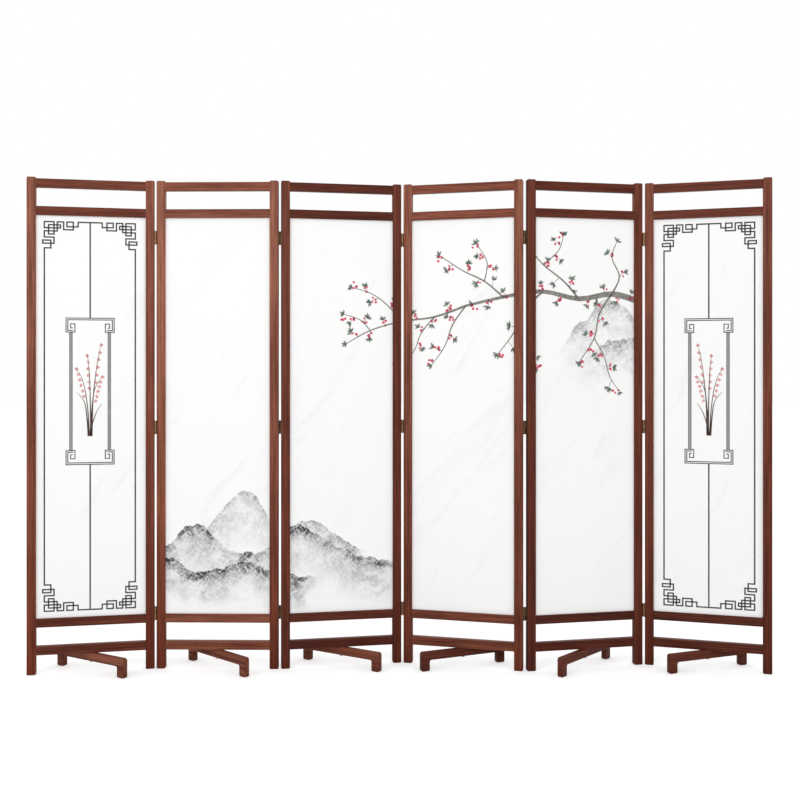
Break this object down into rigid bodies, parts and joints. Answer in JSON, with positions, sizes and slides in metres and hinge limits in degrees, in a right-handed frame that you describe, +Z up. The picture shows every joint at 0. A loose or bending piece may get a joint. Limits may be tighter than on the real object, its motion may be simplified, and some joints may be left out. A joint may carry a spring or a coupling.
{
  "type": "folding screen",
  "caption": "Free-standing folding screen: wooden frames with stretched cloth infill, butt-hinged in a zigzag, on swivelling bridge feet.",
  "frame": {"origin": "on the floor, in the middle of the bounding box of the open screen", "axes": "+Z up, +X along the screen from the first panel to the last, -Y towards the front"},
  "size_m": [2.7044, 0.2842, 1.8],
  "materials": {
    "frame_wood": "stained reddish-brown wood, satin lacquer, straight grain",
    "foot_wood": "stained reddish-brown wood, satin lacquer",
    "batten_wood": "bare softwood",
    "printed_cloth": null,
    "hinge_brass": "antique brass, worn",
    "bolt_steel": "zinc-plated"
  },
  "bodies": {
    "panel_1": {"panel_1_left_stile": "frame_wood", "panel_1_right_stile": "frame_wood", "panel_1_outer_rails": "frame_wood", "panel_1_inner_rails": "frame_wood", "panel_1_batten_frame": "batten_wood", "panel_1_cloth": "printed_cloth", "foot_1_bolt": "bolt_steel", "hinge_1_2_pin_leaves": "hinge_brass"},
    "foot_1_body": {"foot_1": "foot_wood"},
    "panel_2": {"panel_2_left_stile": "frame_wood", "panel_2_right_stile": "frame_wood", "panel_2_outer_rails": "frame_wood", "panel_2_inner_rails": "frame_wood", "panel_2_batten_frame": "batten_wood", "panel_2_cloth": "printed_cloth", "foot_2_bolt": "bolt_steel", "hinge_2_3_pin_leaves": "hinge_brass", "hinge_1_2_swing_leaves": "hinge_brass"},
    "foot_2_body": {"foot_2": "foot_wood"},
    "panel_3": {"panel_3_left_stile": "frame_wood", "panel_3_right_stile": "frame_wood", "panel_3_outer_rails": "frame_wood", "panel_3_inner_rails": "frame_wood", "panel_3_batten_frame": "batten_wood", "panel_3_cloth": "printed_cloth", "foot_3_bolt": "bolt_steel", "hinge_3_4_pin_leaves": "hinge_brass", "hinge_2_3_swing_leaves": "hinge_brass"},
    "foot_3_body": {"foot_3": "foot_wood"},
    "panel_4": {"panel_4_left_stile": "frame_wood", "panel_4_right_stile": "frame_wood", "panel_4_outer_rails": "frame_wood", "panel_4_inner_rails": "frame_wood", "panel_4_batten_frame": "batten_wood", "panel_4_cloth": "printed_cloth", "foot_4_bolt": "bolt_steel", "hinge_4_5_pin_leaves": "hinge_brass", "hinge_3_4_swing_leaves": "hinge_brass"},
    "foot_4_body": {"foot_4": "foot_wood"},
    "panel_5": {"panel_5_left_stile": "frame_wood", "panel_5_right_stile": "frame_wood", "panel_5_outer_rails": "frame_wood", "panel_5_inner_rails": "frame_wood", "panel_5_batten_frame": "batten_wood", "panel_5_cloth": "printed_cloth", "foot_5_bolt": "bolt_steel", "hinge_5_6_pin_leaves": "hinge_brass", "hinge_4_5_swing_leaves": "hinge_brass"},
    "foot_5_body": {"foot_5": "foot_wood"},
    "panel_6": {"panel_6_left_stile": "frame_wood", "panel_6_right_stile": "frame_wood", "panel_6_outer_rails": "frame_wood", "panel_6_inner_rails": "frame_wood", "panel_6_batten_frame": "batten_wood", "panel_6_cloth": "printed_cloth", "foot_6_bolt": "bolt_steel", "hinge_5_6_swing_leaves": "hinge_brass"},
    "foot_6_body": {"foot_6": "foot_wood"}
  },
  "joints": [
    {"name": "fold_2_3", "type": "hinge", "parent": "panel_3", "child": "panel_2", "pos_m": [-0.44605, 0.00712, 0.9], "axis": [0, 0, -1], "range_deg": [-11.8, 168.2]},
    {"name": "fold_1_2", "type": "hinge", "parent": "panel_2", "child": "panel_1", "pos_m": [-0.90254, -0.01692, 0.9], "axis": [0, 0, 1], "range_deg": [-12.2, 167.8]},
    {"name": "fold_3_4", "type": "hinge", "parent": "panel_3", "child": "panel_4", "pos_m": [0.00787, 0.06113, 0.9], "axis": [0, 0, -1], "range_deg": [-25.5, 154.5]},
    {"name": "fold_4_5", "type": "hinge", "parent": "panel_4", "child": "panel_5", "pos_m": [0.45707, -0.02363, 0.9], "axis": [0, 0, 1], "range_deg": [-26.2, 153.8]},
    {"name": "fold_5_6", "type": "hinge", "parent": "panel_5", "child": "panel_6", "pos_m": [0.91029, 0.03592, 0.9], "axis": [0, 0, -1], "range_deg": [-28.1, 151.9]},
    {"name": "foot_1_swivel", "type": "hinge", "parent": "panel_1", "child": "foot_1_body", "pos_m": [-1.1293, -0.04551, 0.055], "axis": [0, 0, 1], "range_deg": [-48, 42]},
    {"name": "foot_2_swivel", "type": "hinge", "parent": "panel_2", "child": "foot_2_body", "pos_m": [-0.67429, -0.0049, 0.055], "axis": [0, 0, -1], "range_deg": [-23.4, 138.01]},
    {"name": "foot_3_swivel", "type": "hinge", "parent": "panel_3", "child": "foot_3_body", "pos_m": [-0.21909, 0.03412, 0.055], "axis": [0, 0, -1], "range_deg": [-23.4, 138.01]},
    {"name": "foot_4_swivel", "type": "hinge", "parent": "panel_4", "child": "foot_4_body", "pos_m": [0.23247, 0.01875, 0.055], "axis": [0, 0, 1], "range_deg": [-24.1, 142.51]},
    {"name": "foot_5_swivel", "type": "hinge", "parent": "panel_5", "child": "foot_5_body", "pos_m": [0.68368, 0.00615, 0.055], "axis": [0, 0, 1], "range_deg": [-24.1, 142.51]},
    {"name": "foot_6_swivel", "type": "hinge", "parent": "panel_6", "child": "foot_6_body", "pos_m": [1.13336, -0.01388, 0.055], "axis": [0, 0, -1], "range_deg": [-52.5, 37.5]}
  ],
  "couplings": [
    {"joint": "foot_2_swivel", "follows": "fold_3_4", "ratio": 0.8932},
    {"joint": "foot_3_swivel", "follows": "fold_3_4", "ratio": 0.8932},
    {"joint": "foot_4_swivel", "follows": "fold_3_4", "ratio": 0.92233},
    {"joint": "foot_5_swivel", "follows": "fold_3_4", "ratio": 0.92233}
  ]
}
